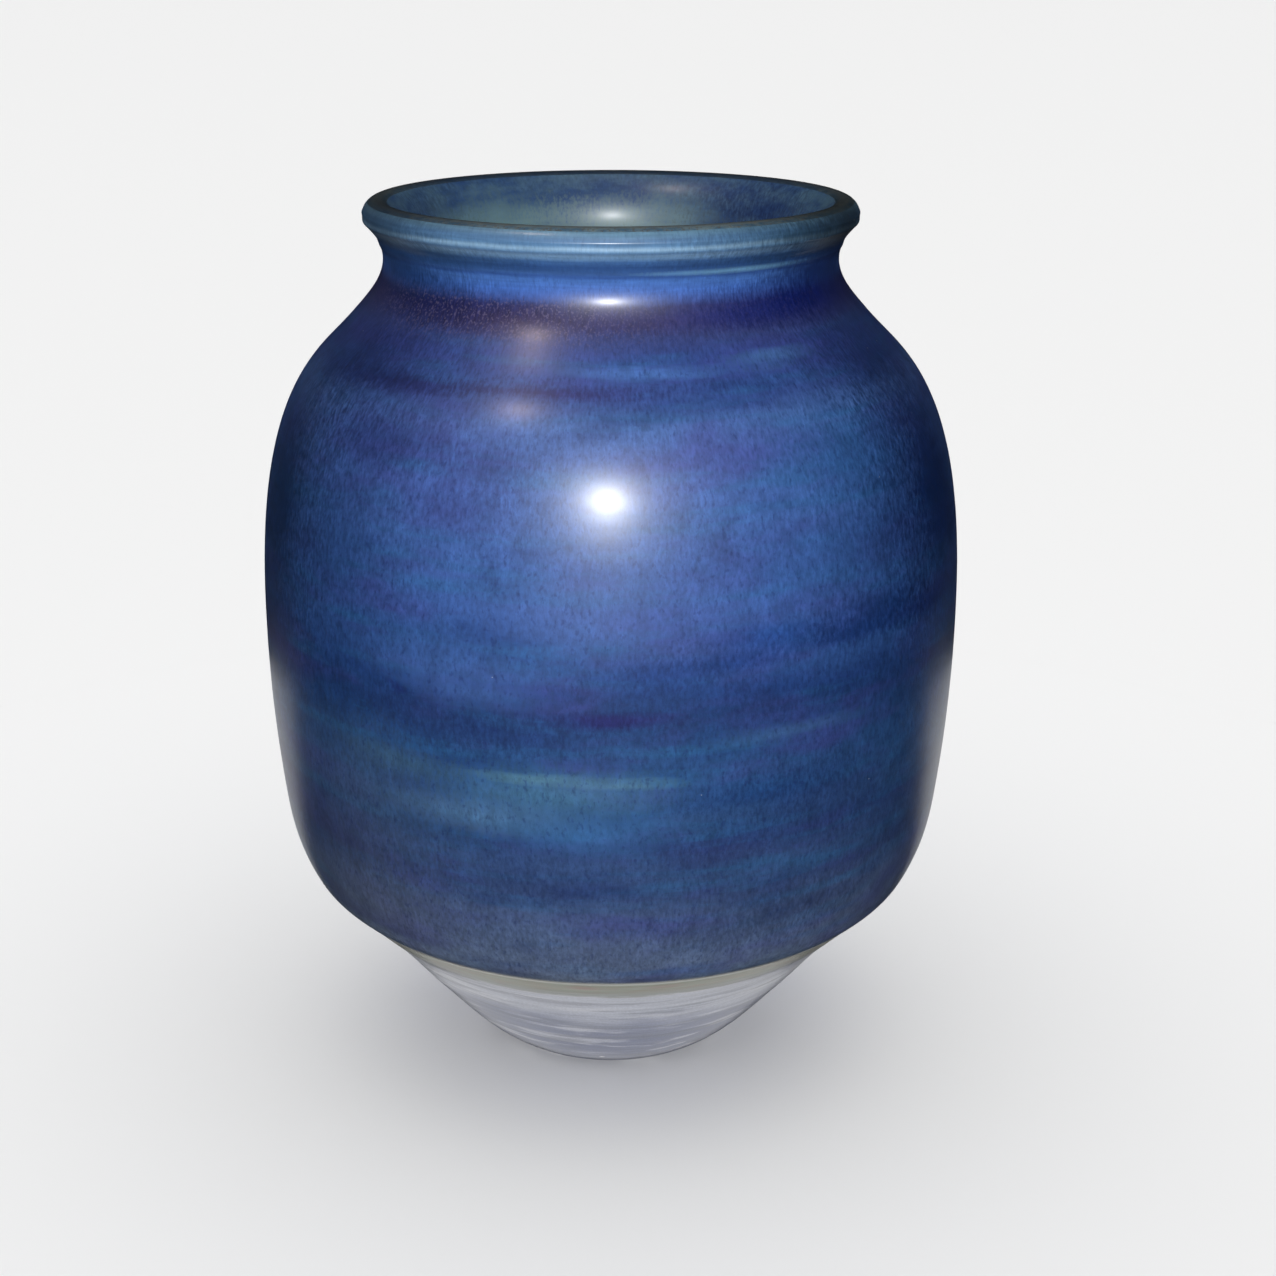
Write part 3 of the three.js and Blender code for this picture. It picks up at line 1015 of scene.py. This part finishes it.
def floor_part(name, inner, outer, start, stop, finish):
    """A part of the floor: from one distance and one direction to another, round the pot."""
    points, tiles = [], []
    for i in range(FLOOR_STEPS + 1):
        turn = start + (stop - start) * i / FLOOR_STEPS
        for radius in (inner, outer):
            points.append((radius * math.cos(turn), radius * math.sin(turn), FLOOR_LEVEL))
    for i in range(0, 2 * FLOOR_STEPS, 2):
        tiles.append((i, i + 1, i + 3, i + 2))
    mesh = bpy.data.meshes.new(name)
    mesh.from_pydata(points, [], tiles)
    mesh.materials.append(finish)
    ground = bpy.data.objects.new(name, mesh)
    bpy.context.collection.objects.link(ground)
    ground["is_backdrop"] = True
    return ground


def group(name, things):
    """The only things that a lamp lights."""
    chosen = bpy.data.collections.new(name)
    for thing in things:
        chosen.objects.link(thing)
    return chosen


def lamp(name, spot, size, power, lit, in_gloss=True, on_matt=True):
    """A round lamp that faces the middle of the pot: its size in metres, its power in watts."""
    data = bpy.data.lights.new(name, "AREA")
    data.shape = "DISK"
    data.size = size
    data.energy = power
    made_lamp = bpy.data.objects.new(name, data)
    made_lamp.location = spot
    made_lamp.rotation_euler = (middle - made_lamp.location).to_track_quat("-Z", "Y").to_euler()
    made_lamp.visible_glossy = in_gloss
    made_lamp.visible_diffuse = on_matt
    made_lamp.light_linking.receiver_collection = lit
    bpy.context.collection.objects.link(made_lamp)
    return made_lamp


paper = bpy.data.materials.new("pale floor")
paper.use_nodes = True
paper_shader = paper.node_tree.nodes["Principled BSDF"]
paper_shader.inputs["Base Color"].default_value = PAPER
paper_shader.inputs["Roughness"].default_value = 0.9
paper_shader.inputs["Specular IOR Level"].default_value = 0.1
under_floor = floor_part("floor_under_pot", 0, UNDER_POT, *IN_FRONT, paper)
rear_floor = floor_part("floor_behind", 0, NEAR_FLOOR, *BEHIND, paper)
front_floor = floor_part("floor_in_front", UNDER_POT, NEAR_FLOOR, *IN_FRONT, paper)
far_floor = floor_part("floor_far", NEAR_FLOOR, FAR_FLOOR, 0, math.tau, paper)
under_floor.visible_glossy = False
for ground in (front_floor, far_floor):
    ground.visible_diffuse = False
    ground.visible_glossy = False

middle = (cad_box[0] + cad_box[1]) / 2
the_pot = group("the pot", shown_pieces())
the_floor = group("the floor", (under_floor, rear_floor, front_floor, far_floor))
the_hollow = group("the hollow", (bpy.data.objects["liner_glaze_coat"],))

lamp("key_lamp", KEY_SPOT, 0.03, 2.8, the_pot)
for name, strength, shadow in (("soft_top_light", 1.5, True), ("even_floor_light", 1.8, False)):
    daylight = bpy.data.lights.new(name, "SUN")
    daylight.energy = strength
    daylight.angle = SOFT_SKY
    daylight.use_shadow = shadow
    top_light = bpy.data.objects.new(name, daylight)
    bpy.context.collection.objects.link(top_light)
    top_light.light_linking.receiver_collection = the_floor
warm = lamp("warm_ceiling_lamp", (-0.62, -0.466, 1.53), 0.07, 4.2, the_pot, on_matt=False)
warm.data.color = WARM
for name, side in (("left_fill_lamp", -0.82), ("right_fill_lamp", 0.82)):
    lamp(name, (side, 0.9, 0.3), 0.9, 5.5, the_pot, in_gloss=False)
lamp("key_glow_lamp", KEY_SPOT, 0.05, 0.8, the_pot, on_matt=False)
lamp("mouth_lamp", (0, -0.1, 1.25), 0.5, 3.5, the_hollow, in_gloss=False)

world = bpy.data.worlds.new("pale room")
bpy.context.scene.world = world
world.use_nodes = True
world.node_tree.nodes["Background"].inputs["Color"].default_value = ROOM
world.cycles_visibility.diffuse = False
world.cycles_visibility.glossy = False

eye = bpy.data.cameras.new("camera")
eye.lens = LENS
eye.sensor_width = SENSOR
eye.shift_x = SIDE_SHIFT
eye.clip_start = NEAR_CLIP
camera = bpy.data.objects.new("camera", eye)
camera.location = CAMERA_SPOT
camera.rotation_euler = (math.pi / 2 - CAMERA_DROP, 0, 0)
bpy.context.collection.objects.link(camera)
bpy.context.scene.camera = camera
bpy.context.scene.view_settings.view_transform = "Standard"
